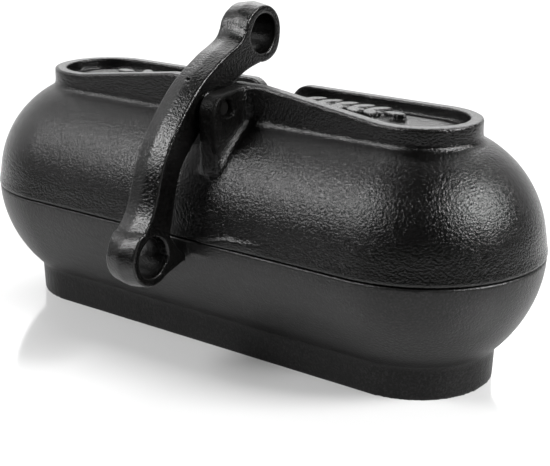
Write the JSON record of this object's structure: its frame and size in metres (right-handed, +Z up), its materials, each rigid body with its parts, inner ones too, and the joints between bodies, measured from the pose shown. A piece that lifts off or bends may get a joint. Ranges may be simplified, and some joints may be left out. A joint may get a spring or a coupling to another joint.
{
  "type": "covered cast-iron roasting oven",
  "caption": "Oval two-part cast-iron roasting oven on a foot, with a hinged lid, a raised rim round its top recess, and a pivoting arched lever with an eye at each end.",
  "frame": {"origin": "centre of the foot's underside, between the two end circles of the oval", "axes": "+X along the oven's length, +Y towards the hinge, -Y towards the lever, +Z up"},
  "size_m": [0.3728, 0.2086, 0.1953],
  "materials": {
    "pot_iron": "satin black seasoned cast iron, fine sand-cast grain",
    "lid_iron": "satin black seasoned cast iron, coarser sand-cast grain",
    "lever_iron": "black cast iron, polished a little by handling",
    "pivot_steel": "blackened steel",
    "lock_steel": "blackened spring steel",
    "hinge_steel": "blackened steel"
  },
  "bodies": {
    "pot_body": {"pot": "pot_iron", "hinge_pin": "hinge_steel", "hinge_washer": "hinge_steel", "hinge_split_pin": "hinge_steel"},
    "lid_body": {"lid": "lid_iron"},
    "lever_body": {"lever": "lever_iron", "lever_pin": "pivot_steel", "lever_lock_pin": "lock_steel"}
  },
  "joints": [
    {"name": "lid_hinge", "type": "hinge", "parent": "pot_body", "child": "lid_body", "pos_m": [0, 0.083, 0.072], "axis": [-1, 0, 0], "range_deg": [0, 100]},
    {"name": "lever_pivot", "type": "hinge", "parent": "lid_body", "child": "lever_body", "pos_m": [0, -0.05, 0.1443], "axis": [-1, 0, 0], "range_deg": [0, 20]}
  ]
}
